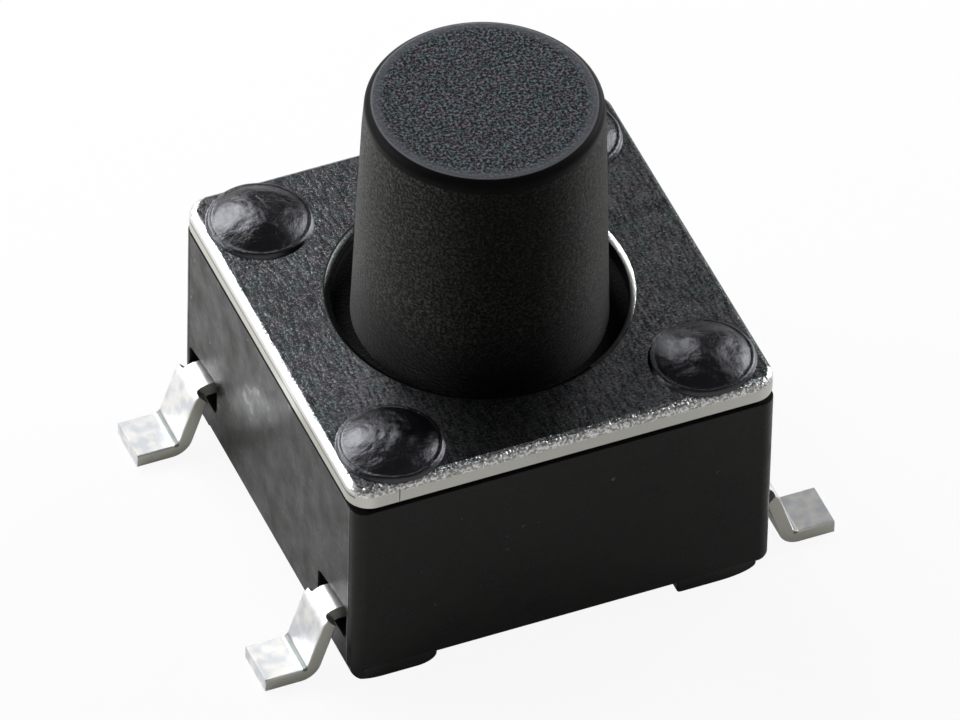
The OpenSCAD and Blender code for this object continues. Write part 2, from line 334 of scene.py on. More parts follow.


# Silver plating, half matt: nearly white with cool patches and fine drawing lines along the strip.
# The sheared sides are duller and a little olive, because the cut goes through the plating, and
# the crease of the lower bend is painted dark as painted shade.
crease_x = 3.49                          # how far out from the middle the lower bend's crease runs
plating, tree, place = new_material("silver-plated bronze, stamped")
spot = node(tree, "ShaderNodeSeparateXYZ", {"Vector": place})
along = node(tree, "ShaderNodeMapping", {"Vector": place, "Scale": (1.0, 8.0, 1.0)})
lines = node(tree, "ShaderNodeTexNoise", {"Vector": along, "Scale": grain(0.25), "Detail": 5.0})
mottle = node(tree, "ShaderNodeTexNoise", {"Vector": place, "Scale": grain(0.22), "Detail": 3.0})
patch = node(tree, "ShaderNodeMapRange", {"Value": mottle, "From Min": 0.4, "From Max": 0.6})
facing = node(tree, "ShaderNodeTexCoord").outputs["Normal"]
sideways = node(tree, "ShaderNodeSeparateXYZ", {"Vector": facing}).outputs["Y"]
sideways = node(tree, "ShaderNodeMath", {0: sideways}, operation="ABSOLUTE")
cut_face = node(tree, "ShaderNodeMapRange", {"Value": sideways, "From Min": 0.6, "From Max": 0.9})
bright = node(tree, "ShaderNodeMix", {"Factor": patch, 6: linear("#e3e6ea"), 7: linear("#fdfcf9")},
              data_type="RGBA")
tone = node(tree, "ShaderNodeMix", {"Factor": cut_face, 6: bright.outputs[2], 7: linear("#d3d2c8")},
            data_type="RGBA")
# Painted shade: a dark line along the top of the lower bend's crease.
outward = node(tree, "ShaderNodeMath", {0: spot.outputs["X"]}, operation="ABSOLUTE")
aside = node(tree, "ShaderNodeMath", {0: outward, 1: crease_x / 1000}, operation="SUBTRACT")
aside = node(tree, "ShaderNodeMath", {0: aside}, operation="ABSOLUTE")
near = node(tree, "ShaderNodeMapRange", {"Value": aside, "From Min": 0.00002, "From Max": 0.00004,
                                         "To Min": 1.0, "To Max": 0.0})
above = node(tree, "ShaderNodeMapRange", {"Value": spot.outputs["Z"], "From Min": (metal - 0.03) / 1000,
                                          "From Max": (metal - 0.01) / 1000, "To Max": 0.8})
painted_crease_shade = node(tree, "ShaderNodeMath", {0: near, 1: above}, operation="MULTIPLY")
tone = node(tree, "ShaderNodeMix", {"Factor": painted_crease_shade, 6: tone.outputs[2], 7: linear("#3f4d49")},
            data_type="RGBA")
sheen = node(tree, "ShaderNodeMapRange", {"Value": cut_face, "To Min": 0.36, "To Max": 0.5})
relief = node(tree, "ShaderNodeBump", {"Height": lines, "Strength": 0.2, "Distance": 0.000008})
shader = node(tree, "ShaderNodeBsdfPrincipled", {"Base Color": tone.outputs[2], "Roughness": sheen,
                                                 "Normal": relief, "Metallic": 0.75})
node(tree, "ShaderNodeOutputMaterial", {"Surface": shader})

# The strip follows a bent line: the line's corners are rounded, and a flat bar is drawn along it
tree, size = new_tree("Gull-wing strip", ("Lead width", "NodeSocketFloat"),
                      ("Metal thickness", "NodeSocketFloat"), ("Bend radius", "NodeSocketFloat"),
                      ("Edge radius", "NodeSocketFloat"))
line = node(tree, "GeometryNodeMeshToCurve", {"Mesh": size["Geometry"]})
bent = node(tree, "GeometryNodeFilletCurve", {"Curve": line, "Count": 10, "Radius": size["Bend radius"]},
            mode="POLY")
level = node(tree, "GeometryNodeSetCurveNormal", {"Curve": bent}, mode="Z_UP")
flat = node(tree, "GeometryNodeCurvePrimitiveQuadrilateral", {"Width": size["Lead width"],
                                                              "Height": size["Metal thickness"]})
eased = node(tree, "GeometryNodeFilletCurve", {"Curve": flat, "Count": 3, "Radius": size["Edge radius"]},
             mode="POLY")
bar = node(tree, "GeometryNodeCurveToMesh", {"Curve": level, "Profile Curve": eased, "Fill Caps": True})
real = node(tree, "GeometryNodeRealizeInstances", {"Geometry": bar})
clad = node(tree, "GeometryNodeSetMaterial", {"Geometry": real, "Material": plating})
node(tree, "NodeGroupOutput", {"Geometry": clad})
strip_tree = tree

lean = math.radians(18)                  # of a leg, away from upright
bend = 0.2                               # radius of a bend, at the middle of the metal
foot_end = strip_high.x
contact_radius, rim_contact_x = 0.6, 1.8
centre_arm, rim_arm, rim_contact = 0.4, 0.3, 0.4    # half widths of the arms, half length of a rim contact
for name, side in (("centre_terminal", 1), ("outer_terminal", -1)):
    # The line's sharp corners, from which the bends are rounded: foot, heel, knee, and across
    knee = half_w + bend * math.tan((math.pi / 2 - lean) / 2)
    heel = knee + (exit_z - metal / 2) * math.tan(lean)
    points = [(foot_end, metal / 2), (heel, metal / 2), (knee, exit_z)]
    points = [(-x, z) for x, z in points] + [(x, z) for x, z in points[::-1]]
    mesh = bpy.data.meshes.new(name + "_strip")
    mesh.from_pydata([(x, side * lead_y, z) for x, z in points], [(i, i + 1) for i in range(5)], [])
    strip = bpy.data.objects.new(name + "_strip", mesh)
    bpy.context.scene.collection.objects.link(strip)
    grow(strip, strip_tree, {"Lead width": lead_width, "Metal thickness": metal, "Bend radius": bend,
                             "Edge radius": 0.025})
    low, high, contact = exit_z - metal / 2, exit_z + metal / 2, floor_z + 0.04
    if side > 0:
        arms = [((-centre_arm, -0.1), (centre_arm, lead_y), high)]
        added = [loft("contact", [circle(contact_radius, low), circle(contact_radius, contact)])]
    else:
        sides = [(sx * rim_contact_x - rim_arm, sx * rim_contact_x + rim_arm) for sx in (-1, 1)]
        arms = [((left, -lead_y), (right, rim_contact), high) for left, right in sides]
        arms += [((left, -rim_contact), (right, rim_contact), contact) for left, right in sides]
        added = []
    for (x0, y0), (x1, y1), top in arms:
        outline = [(x0, y0), (x1, y0), (x1, y1), (x0, y1)]
        added.append(loft("arm", [[Vector((x, y, z)) for x, y in outline] for z in (low, top)]))
    combine(strip, "UNION", *added)

    # A notch in each edge narrows the neck of a lead; it ends square to the metal, with a round corner
    for sx in (-1, 1):
        for edge in (-1, 1):
            rings = []
            for out, turn in ((0.23, 34), (0.24, 39), (0.27, 42), (0.4, 42.5)):
                turn, middle_z = math.radians(turn), exit_z - bend
                outline = [(half_w - 0.25, middle_z), (half_w, middle_z),
                           (half_w + 0.4 * math.sin(turn), middle_z + 0.4 * math.cos(turn)),
                           (half_w, exit_z + 0.6), (half_w - 0.25, exit_z + 0.6)]
                rings.append([Vector((sx * x, side * lead_y + edge * out, z)) for x, z in outline])
            combine(strip, "DIFFERENCE", loft("notch", rings if sx * edge < 0 else rings[::-1]))
    plain_mesh(strip)
    strip.data.materials.clear()
    strip.data.materials.append(plating)
    finish(strip, "housing", "plated_copper", name)


# ---- Snap dome ------------------------------------------------------------------------
# A shallow disc of stainless spring strip, pressed to a dome. Its rim stands on the two outer
# contacts, and it snaps down on the centre contact when the button is pressed.

# A turned shape: the outline's points are copied round the axis, and its ends meet on it
tree, size = new_tree("Turned shape", ("Segments", "NodeSocketInt"), ("Material", "NodeSocketMaterial"))
count = node(tree, "GeometryNodeAttributeDomainSize", {"Geometry": size["Geometry"]})
ends = node(tree, "ShaderNodeMath", {0: size["Segments"], 1: 1.0}, operation="ADD")
sheet = node(tree, "GeometryNodeMeshGrid", {"Size X": 1.0, "Size Y": 1.0,
                                            "Vertices X": count.outputs["Point Count"], "Vertices Y": ends})
spot = node(tree, "ShaderNodeSeparateXYZ", {"Vector": node(tree, "GeometryNodeInputPosition")})
last = node(tree, "ShaderNodeMath", {0: count.outputs["Point Count"], 1: 1.0}, operation="SUBTRACT")
step = node(tree, "ShaderNodeMath", {0: spot.outputs["X"], 1: 0.5}, operation="ADD")
index = node(tree, "ShaderNodeMath", {0: step, 1: last}, operation="MULTIPLY")
index = node(tree, "ShaderNodeMath", {0: index}, operation="ROUND")
outline = node(tree, "GeometryNodeSampleIndex", {"Geometry": size["Geometry"],
                                                 "Value": node(tree, "GeometryNodeInputPosition"),
                                                 "Index": index}, data_type="FLOAT_VECTOR")
turn = node(tree, "ShaderNodeMath", {0: spot.outputs["Y"], 1: 2 * math.pi}, operation="MULTIPLY")
turned = node(tree, "ShaderNodeVectorRotate", {"Vector": outline, "Angle": turn}, rotation_type="Z_AXIS")
moved = node(tree, "GeometryNodeSetPosition", {"Geometry": sheet, "Position": turned})
joined = node(tree, "GeometryNodeMergeByDistance", {"Geometry": moved, "Distance": 0.0005})
real = node(tree, "GeometryNodeRealizeInstances", {"Geometry": joined})
clad = node(tree, "GeometryNodeSetMaterial", {"Geometry": real, "Material": size["Material"]})
node(tree, "NodeGroupOutput", {"Geometry": clad})
turned_tree = tree


def arc(x, z, radius, start, end, steps):
    """Points of an arc about (x, z), from one angle to another in degrees."""
    angles = [math.radians(start + (end - start) * i / steps) for i in range(steps + 1)]
    return [(x + radius * math.cos(a), z + radius * math.sin(a)) for a in angles]


def turned_piece(name, outline, material, segments):
    """A solid turned from an outline of radius and height, which starts and ends on the axis."""
    mesh = bpy.data.meshes.new(name)
    mesh.from_pydata([(r, 0, z) for r, z in outline], [(i, i + 1) for i in range(len(outline) - 1)], [])
    piece = bpy.data.objects.new(name, mesh)
    bpy.context.scene.collection.objects.link(piece)
    grow(piece, turned_tree, {"Segments": segments, "Material": material})
    plain_mesh(piece)
    return piece


# Stainless spring strip, rolled bright: a fine grain one way and a soft grey shine
spring, tree, place = new_material("stainless spring strip, rolled")
rolled = node(tree, "ShaderNodeMapping", {"Vector": place, "Scale": (1.0, 12.0, 1.0)})
lines = node(tree, "ShaderNodeTexNoise", {"Vector": rolled, "Scale": grain(0.3), "Detail": 4.0})
tone = node(tree, "ShaderNodeMix", {"Factor": lines, 6: linear("#a5a6a4"), 7: linear("#c2c3c0")},
            data_type="RGBA")
sheen = node(tree, "ShaderNodeMapRange", {"Value": lines, "To Min": 0.22, "To Max": 0.4})
shader = node(tree, "ShaderNodeBsdfPrincipled", {"Base Color": tone.outputs[2], "Roughness": sheen,
                                                 "Metallic": 1.0})
node(tree, "ShaderNodeOutputMaterial", {"Surface": shader})

dome_low, dome_high = corners("snap_dome")
dome_radius, dome_rise, dome_metal = dome_high.x, dome_high.z - dome_low.z, 0.07
sphere = (dome_radius ** 2 + dome_rise ** 2) / (2 * dome_rise)
middle_z = dome_high.z - sphere
outer_start = math.degrees(math.asin((dome_low.z - middle_z) / sphere))
inner_start = math.degrees(math.asin((dome_low.z - middle_z) / (sphere - dome_metal)))
dome = turned_piece("snap_dome_disc", arc(0, middle_z, sphere - dome_metal, 90, inner_start, 16)
                    + arc(0, middle_z, sphere, outer_start, 90, 16), spring, 96)
finish(dome, "housing", "spring_steel", "snap_dome")
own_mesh(dome)


# ---- Button ---------------------------------------------------------------------------
# One black moulding, turned in form: a nub that rests on the dome, a wide flange that the
# cover plate keeps in, and a tall tapered stem whose top edge is rounded for a fingertip.

# Black acetal with a spark-eroded grain: cool and violet specks on the top, and dim grey ones
# down the side, which are painted darker towards the hole as painted shade. The rounded edge was
# left smooth and shows as a black band; a painted highlight lightens the top in a ring along it,
# and a painted highlight line parts the two.
button_low, button_high = corners("button")
stem_base, stem_top, edge_round = 1.69, 1.57, 0.14
acetal, tree, place = new_material("black acetal, spark-eroded grain")
height = node(tree, "ShaderNodeSeparateXYZ", {"Vector": place}).outputs["Z"]
on_top = node(tree, "ShaderNodeMapRange", {"Value": height, "From Min": (button_high.z - 0.012) / 1000,
                                           "From Max": (button_high.z - 0.002) / 1000})
on_edge = node(tree, "ShaderNodeMapRange", {"Value": height, "From Min": (button_high.z - 0.21) / 1000,
                                            "From Max": (button_high.z - 0.18) / 1000})
band = node(tree, "ShaderNodeMath", {0: on_edge, 1: on_top}, operation="SUBTRACT", use_clamp=True)
speck = node(tree, "ShaderNodeTexNoise", {"Vector": place, "Scale": grain(0.038), "Detail": 4.0,
                                          "Roughness": 0.7})
cloud = node(tree, "ShaderNodeTexNoise", {"Vector": place, "Scale": grain(0.6), "Detail": 3.0})
spread = node(tree, "ShaderNodeMapRange", {"Value": speck, "From Min": 0.46, "From Max": 0.65})
tint = node(tree, "ShaderNodeTexNoise", {"Vector": place, "Scale": grain(0.12), "Detail": 2.0})
tint = node(tree, "ShaderNodeMapRange", {"Value": tint, "From Min": 0.4, "From Max": 0.6})
tint = node(tree, "ShaderNodeMix", {"Factor": tint, 6: linear("#708389"), 7: linear("#817a89")},
            data_type="RGBA")
top_tone = node(tree, "ShaderNodeMix", {"Factor": spread, 6: linear("#020304"), 7: tint.outputs[2]},
                data_type="RGBA")
# Painted highlight: a lighter ring round the top's outer edge.
painted_edge_highlight = node(tree, "ShaderNodeMapRange", {"Value": from_axis(tree, place),
                                           "From Min": (stem_top - 0.25) / 1000,
                                           "From Max": (stem_top - 0.15) / 1000, "To Max": 0.7})
top_tone = node(tree, "ShaderNodeMix", {"Factor": painted_edge_highlight, 6: top_tone.outputs[2], 7: linear("#5d6066")},
                data_type="RGBA")
side_tone = node(tree, "ShaderNodeMix", {"Factor": spread, 6: linear("#030303"), 7: linear("#6e6d67")},
                 data_type="RGBA")
# Painted shade: the side turns black towards the hole.
painted_shade_near_hole = node(tree, "ShaderNodeMapRange", {"Value": height, "From Min": (rim + 0.3) / 1000,
                                         "From Max": (rim + 1.3) / 1000})
side_tone = node(tree, "ShaderNodeMix", {"Factor": painted_shade_near_hole, 6: linear("#040404"), 7: side_tone.outputs[2]},
                 data_type="RGBA")
tone = node(tree, "ShaderNodeMix", {"Factor": on_top, 6: side_tone.outputs[2], 7: top_tone.outputs[2]},
            data_type="RGBA")
deep = node(tree, "ShaderNodeMix", {"Factor": band, 6: tone.outputs[2], 7: linear("#040405")},
            data_type="RGBA")
rough = node(tree, "ShaderNodeMapRange", {"Value": cloud, "To Min": 0.5, "To Max": 0.62})
sheen = node(tree, "ShaderNodeMix", {"Factor": band, 2: rough, 3: 0.5}, data_type="FLOAT")
depth = node(tree, "ShaderNodeMapRange", {"Value": band, "To Min": 1.0, "To Max": 0.1})
# Painted highlight: a light line where the top meets the rounded edge.
ridge = node(tree, "ShaderNodeMath", {0: on_top, 1: 0.5}, operation="SUBTRACT")
ridge = node(tree, "ShaderNodeMath", {0: ridge}, operation="ABSOLUTE")
painted_highlight_line = node(tree, "ShaderNodeMapRange", {"Value": ridge, "From Min": 0.3, "From Max": 0.5, "To Min": 0.7,
                                         "To Max": 0.0})
deep = node(tree, "ShaderNodeMix", {"Factor": painted_highlight_line, 6: deep.outputs[2], 7: linear("#77787d")},
            data_type="RGBA")
relief = node(tree, "ShaderNodeBump", {"Height": speck, "Strength": depth, "Distance": 0.00002})
fuzz = node(tree, "ShaderNodeMapRange", {"Value": on_top, "To Min": 0.42, "To Max": 0.2})
shader = node(tree, "ShaderNodeBsdfPrincipled", {"Base Color": deep.outputs[2], "Roughness": sheen,
                                                 "Normal": relief, "IOR": 1.15, "Sheen Weight": fuzz,
                                                 "Sheen Roughness": 0.35})
node(tree, "ShaderNodeOutputMaterial", {"Surface": shader})

nub_radius, flange_radius, flange_thick, bevel = 0.7, 2.3, 0.6, 0.04
stem_foot = plate_high.z
taper = math.degrees(math.atan((stem_base - stem_top) / (button_high.z - stem_foot)))
flange_top = rim - 0.02
flange_low = flange_top - flange_thick
stem_low = stem_base + (stem_base - stem_top) * (stem_foot - flange_top) / (button_high.z - stem_foot)
stem_length = button_high.z - flange_top - edge_round
outline = [(0, button_low.z), (nub_radius - bevel, button_low.z), (nub_radius, button_low.z + bevel)]
outline += [(nub_radius, flange_low), (flange_radius - bevel, flange_low)]
outline += [(flange_radius, flange_low + bevel), (flange_radius, flange_top - bevel)]
outline += [(flange_radius - bevel, flange_top), (stem_low, flange_top)]
outline += [(stem_low + (stem_top - stem_base) * share, flange_top + stem_length * share)
            for share in (0.15, 0.3, 0.45, 0.6, 0.75, 0.9)]
outline += arc(stem_top - edge_round, button_high.z - edge_round, edge_round, taper, 90, 14)
outline += [(1.1, button_high.z), (0.55, button_high.z), (0, button_high.z)]
button = turned_piece("push_button", outline, acetal, 160)
finish(button, "plunger", "button_plastic", "button")


# ---- Cover plate ----------------------------------------------------------------------
# A square of stainless sheet, blanked and pierced: its top edge is rolled over by the die,
# its sides are sheared, and the round hole guides the button. It drops over the four posts.
plate_corner, roll_width, roll_height = 0.33, 0.11, 0.08
rolled_edge = [(roll_width * (1 - math.cos(a)), plate_high.z - roll_height * (1 - math.sin(a)))
               for a in quarter]
plate = loft("cover_sheet", [
    rounded_square(plate_high.x - inset, plate_high.y - inset, plate_corner - inset, height, 16)
    for inset, height in [(0.015, rim), (0, rim + 0.015)] + rolled_edge])
hole_radius, hole_mouth = 1.96, 2.05     # of the sheared wall, and of the roll where it meets the top
combine(plate, "DIFFERENCE", loft("hole", [
    circle(radius, height, count=160) for radius, height in
    ((hole_radius + 0.01, rim - 0.2), (hole_radius + 0.01, rim), (hole_radius, rim + 0.02),
     (hole_radius, plate_high.z - 0.07), (hole_radius + 0.012, plate_high.z - 0.05),
     (hole_radius + 0.045, plate_high.z - 0.024), (hole_mouth - 0.015, plate_high.z - 0.006),
     (hole_mouth, plate_high.z), (hole_mouth, plate_high.z + 0.2))]))
for sx in (-1, 1):
    for sy in (-1, 1):
        combine(plate, "DIFFERENCE", loft("post_hole", [
            circle(post_radius + 0.02, height, sx * post_x, sy * post_y, 48)
            for height in (rim - 0.2, plate_high.z + 0.2)]))

# A small nick across the front edge, near the left corner
nick_x, nick_width, nick_depth = -2.37, 0.02, 0.025
nick = [(nick_x - nick_width, 0.05), (nick_x + nick_width, 0.05), (nick_x, -nick_depth)]
combine(plate, "DIFFERENCE", loft("nick", [
    [Vector((x, -plate_high.y - out, height)) for x, out in nick]
    for height in (rim - 0.1, plate_high.z + 0.1)]))
plain_mesh(plate)

# Stainless sheet, cold rolled: a dull slate grey top with fine dark and light specks strung out
# along the rolling direction, and a few painted glints. The rolls of the left and front edges and
# of the right of the hole are painted bare and bright as a painted highlight. The sheared walls are
# bare, with a dark line where the shear turned to a break; the front one is torn and flaked along
# its top, with painted glints in the flakes, and the hole's is painted dark below the roll as
# painted shade.
sheet_steel, tree, place = new_material("stainless sheet, rolled and blanked")
spot = node(tree, "ShaderNodeSeparateXYZ", {"Vector": place})
rolled = node(tree, "ShaderNodeMapping", {"Vector": place, "Scale": (5.0, 1.0, 1.0)})
lines = node(tree, "ShaderNodeTexNoise", {"Vector": rolled, "Scale": grain(0.25), "Detail": 3.0,
                                          "Roughness": 0.6})
speck = node(tree, "ShaderNodeTexNoise", {"Vector": place, "Scale": grain(0.035), "Detail": 1.0})
spark = node(tree, "ShaderNodeTexNoise", {"Vector": place, "Scale": grain(0.04), "Detail": 0.0})
cloud = node(tree, "ShaderNodeTexNoise", {"Vector": place, "Scale": grain(1.2), "Detail": 2.0})
both = node(tree, "ShaderNodeMath", {0: speck, 1: lines}, operation="ADD")
spread = node(tree, "ShaderNodeMapRange", {"Value": both, "From Min": 0.78, "From Max": 1.26})
slate = node(tree, "ShaderNodeMix", {"Factor": spread, 6: linear("#5b6062"), 7: linear("#c8cacb")},
             data_type="RGBA")
tint = node(tree, "ShaderNodeTexNoise", {"Vector": place, "Scale": grain(0.3), "Detail": 3.0})
tint = node(tree, "ShaderNodeMapRange", {"Value": tint, "From Min": 0.4, "From Max": 0.6})
tint = node(tree, "ShaderNodeMix", {"Factor": tint, 6: linear("#f2f9fb"), 7: linear("#fcf4fa")},
            data_type="RGBA")
slate = node(tree, "ShaderNodeMix", {"Factor": 1.0, 6: slate.outputs[2], 7: tint.outputs[2]},
             data_type="RGBA", blend_type="MULTIPLY")
# Painted glints: a few bright sparks on the slate top.
painted_glints = node(tree, "ShaderNodeMapRange", {"Value": spark, "From Min": 0.74, "From Max": 0.8})
slate = node(tree, "ShaderNodeMix", {"Factor": painted_glints, 6: slate.outputs[2], 7: linear("#d2d4d3")},
             data_type="RGBA")

# Bare metal starts this far below the top: at once on the painted-highlight edges, and lower on the others
in_hole = node(tree, "ShaderNodeMath", {0: from_axis(tree, place), 1: (hole_mouth + 0.01) / 1000},
               operation="LESS_THAN")
right = node(tree, "ShaderNodeMath", {0: spot.outputs["X"], 1: 0.0008}, operation="GREATER_THAN")
hole_right = node(tree, "ShaderNodeMath", {0: in_hole, 1: right}, operation="MULTIPLY")
lowest = node(tree, "ShaderNodeMath", {0: spot.outputs["X"], 1: spot.outputs["Y"]}, operation="MINIMUM")
left_or_front = node(tree, "ShaderNodeMath", {0: lowest, 1: -(plate_high.x - 0.3) / 1000},
                     operation="LESS_THAN")
painted_highlight_edges = node(tree, "ShaderNodeMath", {0: hole_right, 1: left_or_front}, operation="MAXIMUM")
start = node(tree, "ShaderNodeMapRange", {"Value": painted_highlight_edges, "To Min": 0.00006, "To Max": 0.000004})
drop = node(tree, "ShaderNodeMath", {0: plate_high.z / 1000, 1: spot.outputs["Z"]}, operation="SUBTRACT")
past = node(tree, "ShaderNodeMath", {0: drop, 1: start}, operation="SUBTRACT")
ragged = node(tree, "ShaderNodeMapRange", {"Value": both, "From Min": 0.8, "From Max": 1.2,
                                           "To Min": -0.000003, "To Max": 0.000003})
past = node(tree, "ShaderNodeMath", {0: past, 1: ragged}, operation="ADD")
bare = node(tree, "ShaderNodeMapRange", {"Value": past, "From Max": 0.000003})

# The sheared walls: brighter near the top, with the crack line at mid height
shear = node(tree, "ShaderNodeMapRange", {"Value": spot.outputs["Z"],
                                          "From Min": (plate_high.z - 0.11) / 1000,
                                          "From Max": (plate_high.z - 0.08) / 1000})
steel = node(tree, "ShaderNodeMix", {"Factor": shear, 6: linear("#cfcec6"), 7: linear("#e9e9e6")},
             data_type="RGBA")
middle = node(tree, "ShaderNodeMath", {0: spot.outputs["Z"], 1: (rim + 0.16) / 1000}, operation="SUBTRACT")
middle = node(tree, "ShaderNodeMath", {0: middle}, operation="ABSOLUTE")
crack = node(tree, "ShaderNodeMapRange", {"Value": middle, "From Min": 0.000008, "From Max": 0.00002,
                                          "To Min": 0.85, "To Max": 0.0})
front = node(tree, "ShaderNodeMath", {0: spot.outputs["Y"], 1: -(plate_high.y - 0.14) / 1000},
             operation="LESS_THAN")
crack = node(tree, "ShaderNodeMath", {0: crack, 1: front}, operation="SUBTRACT", use_clamp=True)
steel = node(tree, "ShaderNodeMix", {"Factor": crack, 6: steel.outputs[2], 7: linear("#5a5955")},
             data_type="RGBA")
# Painted shade: the hole's wall on the right is dark below the roll.
painted_hole_shade = node(tree, "ShaderNodeMapRange", {"Value": drop, "From Min": 0.00005, "From Max": 0.000065})
painted_hole_shade = node(tree, "ShaderNodeMath", {0: painted_hole_shade, 1: hole_right}, operation="MULTIPLY")
steel = node(tree, "ShaderNodeMix", {"Factor": painted_hole_shade, 6: steel.outputs[2], 7: linear("#1c2a2b")},
             data_type="RGBA")

# Painted shade darkens the slate top on its far right edge and on the hole's roll. The front is
# flaked, with painted glints.
painted_shade_far_edge = node(tree, "ShaderNodeMath", {0: spot.outputs["X"], 1: (plate_high.x - 0.04) / 1000},
                operation="GREATER_THAN")
slate = node(tree, "ShaderNodeMix", {"Factor": painted_shade_far_edge, 6: slate.outputs[2], 7: linear("#39463f")},
             data_type="RGBA")
slate = node(tree, "ShaderNodeMix", {"Factor": in_hole, 6: slate.outputs[2], 7: linear("#5f6463")},
             data_type="RGBA")
torn = node(tree, "ShaderNodeMath", {0: front, 1: shear}, operation="MULTIPLY")
# The torn front is flaked; its flakes go up to white as painted glints.
flake_and_glint = node(tree, "ShaderNodeMapRange", {"Value": speck, "From Min": 0.42, "From Max": 0.58})
flakes_and_painted_glints = node(tree, "ShaderNodeMix", {"Factor": flake_and_glint, 6: linear("#a5a49d"), 7: linear("#ffffff")},
              data_type="RGBA")
steel = node(tree, "ShaderNodeMix", {"Factor": torn, 6: steel.outputs[2], 7: flakes_and_painted_glints.outputs[2]},
             data_type="RGBA")
matt = node(tree, "ShaderNodeMapRange", {"Value": torn, "To Min": 1.0, "To Max": 0.8})
tone = node(tree, "ShaderNodeMix", {"Factor": bare, 6: slate.outputs[2], 7: steel.outputs[2]},
            data_type="RGBA")
rough = node(tree, "ShaderNodeMapRange", {"Value": cloud, "To Min": 0.18, "To Max": 0.25})
sheen = node(tree, "ShaderNodeMix", {"Factor": bare, 2: rough, 3: 0.3}, data_type="FLOAT")
depth = node(tree, "ShaderNodeMapRange", {"Value": torn, "To Min": 0.13, "To Max": 1.0})
relief = node(tree, "ShaderNodeBump", {"Height": both, "Strength": depth, "Distance": 0.000015})
shader = node(tree, "ShaderNodeBsdfPrincipled", {"Base Color": tone.outputs[2], "Roughness": sheen,
                                                 "Normal": relief, "Metallic": matt})
node(tree, "ShaderNodeOutputMaterial", {"Surface": shader})
plate.data.materials.append(sheet_steel)
finish(plate, "housing", "cover_steel", "cover_plate")


# ---- Melted heads ---------------------------------------------------------------------
# The ends of the base's four posts, melted over the plate with a hot tool to lock it down.
# Each cools to a glossy black button of its own shape, with a steep rim and a lumpy crown.

# Black nylon that was melted: smooth, glossy skin with small wrinkles
molten, tree, place = new_material("black nylon, melted")
cloud = node(tree, "ShaderNodeTexNoise", {"Vector": place, "Scale": grain(0.2), "Detail": 4.0})
wrinkle = node(tree, "ShaderNodeTexNoise", {"Vector": place, "Scale": grain(0.12), "Detail": 6.0,
                                            "Roughness": 0.7})
tone = node(tree, "ShaderNodeMix", {"Factor": cloud, 6: linear("#050506"), 7: linear("#111114")},
            data_type="RGBA")
sheen = node(tree, "ShaderNodeMapRange", {"Value": cloud, "To Min": 0.06, "To Max": 0.16})
relief = node(tree, "ShaderNodeBump", {"Height": wrinkle, "Strength": 0.7, "Distance": 0.00002})
shader = node(tree, "ShaderNodeBsdfPrincipled", {"Base Color": tone.outputs[2], "Roughness": sheen,
                                                 "Normal": relief, "IOR": 1.74,
                                                 "Specular Tint": (0.9, 0.91, 1.0, 1.0)})
node(tree, "ShaderNodeOutputMaterial", {"Surface": shader})

# Each head is a ball pressed to a low dome on a flat shoulder, set on a post, then pushed up and
# down by noise
tree, size = new_tree("Melted heads", ("Pitch X", "NodeSocketFloat"), ("Pitch Y", "NodeSocketFloat"),
                      ("Plate top", "NodeSocketFloat"), ("Head radius", "NodeSocketFloat"),
                      ("Head height", "NodeSocketFloat"), ("Lump size", "NodeSocketFloat"),
                      ("Lump height", "NodeSocketFloat"), ("Seed", "NodeSocketFloat"))
ball = node(tree, "GeometryNodeMeshUVSphere", {"Segments": 72, "Rings": 64, "Radius": 1.0})
spot = node(tree, "ShaderNodeSeparateXYZ", {"Vector": node(tree, "GeometryNodeInputPosition")})
above = node(tree, "ShaderNodeMath", {0: spot.outputs["Z"], 1: 0.0}, operation="MAXIMUM")
level = node(tree, "ShaderNodeMath", {0: spot.outputs["Z"], 1: spot.outputs["Z"]}, operation="MULTIPLY")
level = node(tree, "ShaderNodeMath", {0: level, 1: 0.69}, operation="ADD")
dome = node(tree, "ShaderNodeMath", {0: level}, operation="SQRT")
dome = node(tree, "ShaderNodeMapRange", {"Value": dome, "From Min": 0.957, "From Max": 1.3})
shoulder = node(tree, "ShaderNodeMapRange", {"Value": above, "From Max": 0.4, "To Max": 0.3},
                interpolation_type="SMOOTHSTEP")
crown = node(tree, "ShaderNodeMath", {0: dome, 1: 0.7, 2: shoulder}, operation="MULTIPLY_ADD")
tall = node(tree, "ShaderNodeMath", {0: crown, 1: size["Head height"]}, operation="MULTIPLY")
across = node(tree, "ShaderNodeMath", {0: spot.outputs["X"], 1: size["Head radius"]}, operation="MULTIPLY")
back = node(tree, "ShaderNodeMath", {0: spot.outputs["Y"], 1: size["Head radius"]}, operation="MULTIPLY")
cushion = node(tree, "ShaderNodeCombineXYZ", {"X": across, "Y": back, "Z": tall})
pressed = node(tree, "GeometryNodeSetPosition", {"Geometry": ball, "Position": cushion})
kept = node(tree, "GeometryNodeStoreNamedAttribute", {"Geometry": pressed, "Name": "crown", "Value": above},
            data_type="FLOAT", domain="POINT")
posts = node(tree, "GeometryNodeMeshGrid", {"Size X": size["Pitch X"], "Size Y": size["Pitch Y"],
                                            "Vertices X": 2, "Vertices Y": 2})
lift = node(tree, "ShaderNodeCombineXYZ", {"Z": size["Plate top"]})
raised = node(tree, "GeometryNodeSetPosition", {"Geometry": posts, "Offset": lift})
heads = node(tree, "GeometryNodeInstanceOnPoints", {"Points": raised, "Instance": kept})
real = node(tree, "GeometryNodeRealizeInstances", {"Geometry": heads})
finer = node(tree, "ShaderNodeMath", {0: 1.0, 1: size["Lump size"]}, operation="DIVIDE")
lumps = node(tree, "ShaderNodeTexNoise", {"W": size["Seed"], "Scale": finer, "Detail": 2.0},
             noise_dimensions="4D")
swing = node(tree, "ShaderNodeMath", {0: lumps, 1: 0.62}, operation="SUBTRACT")
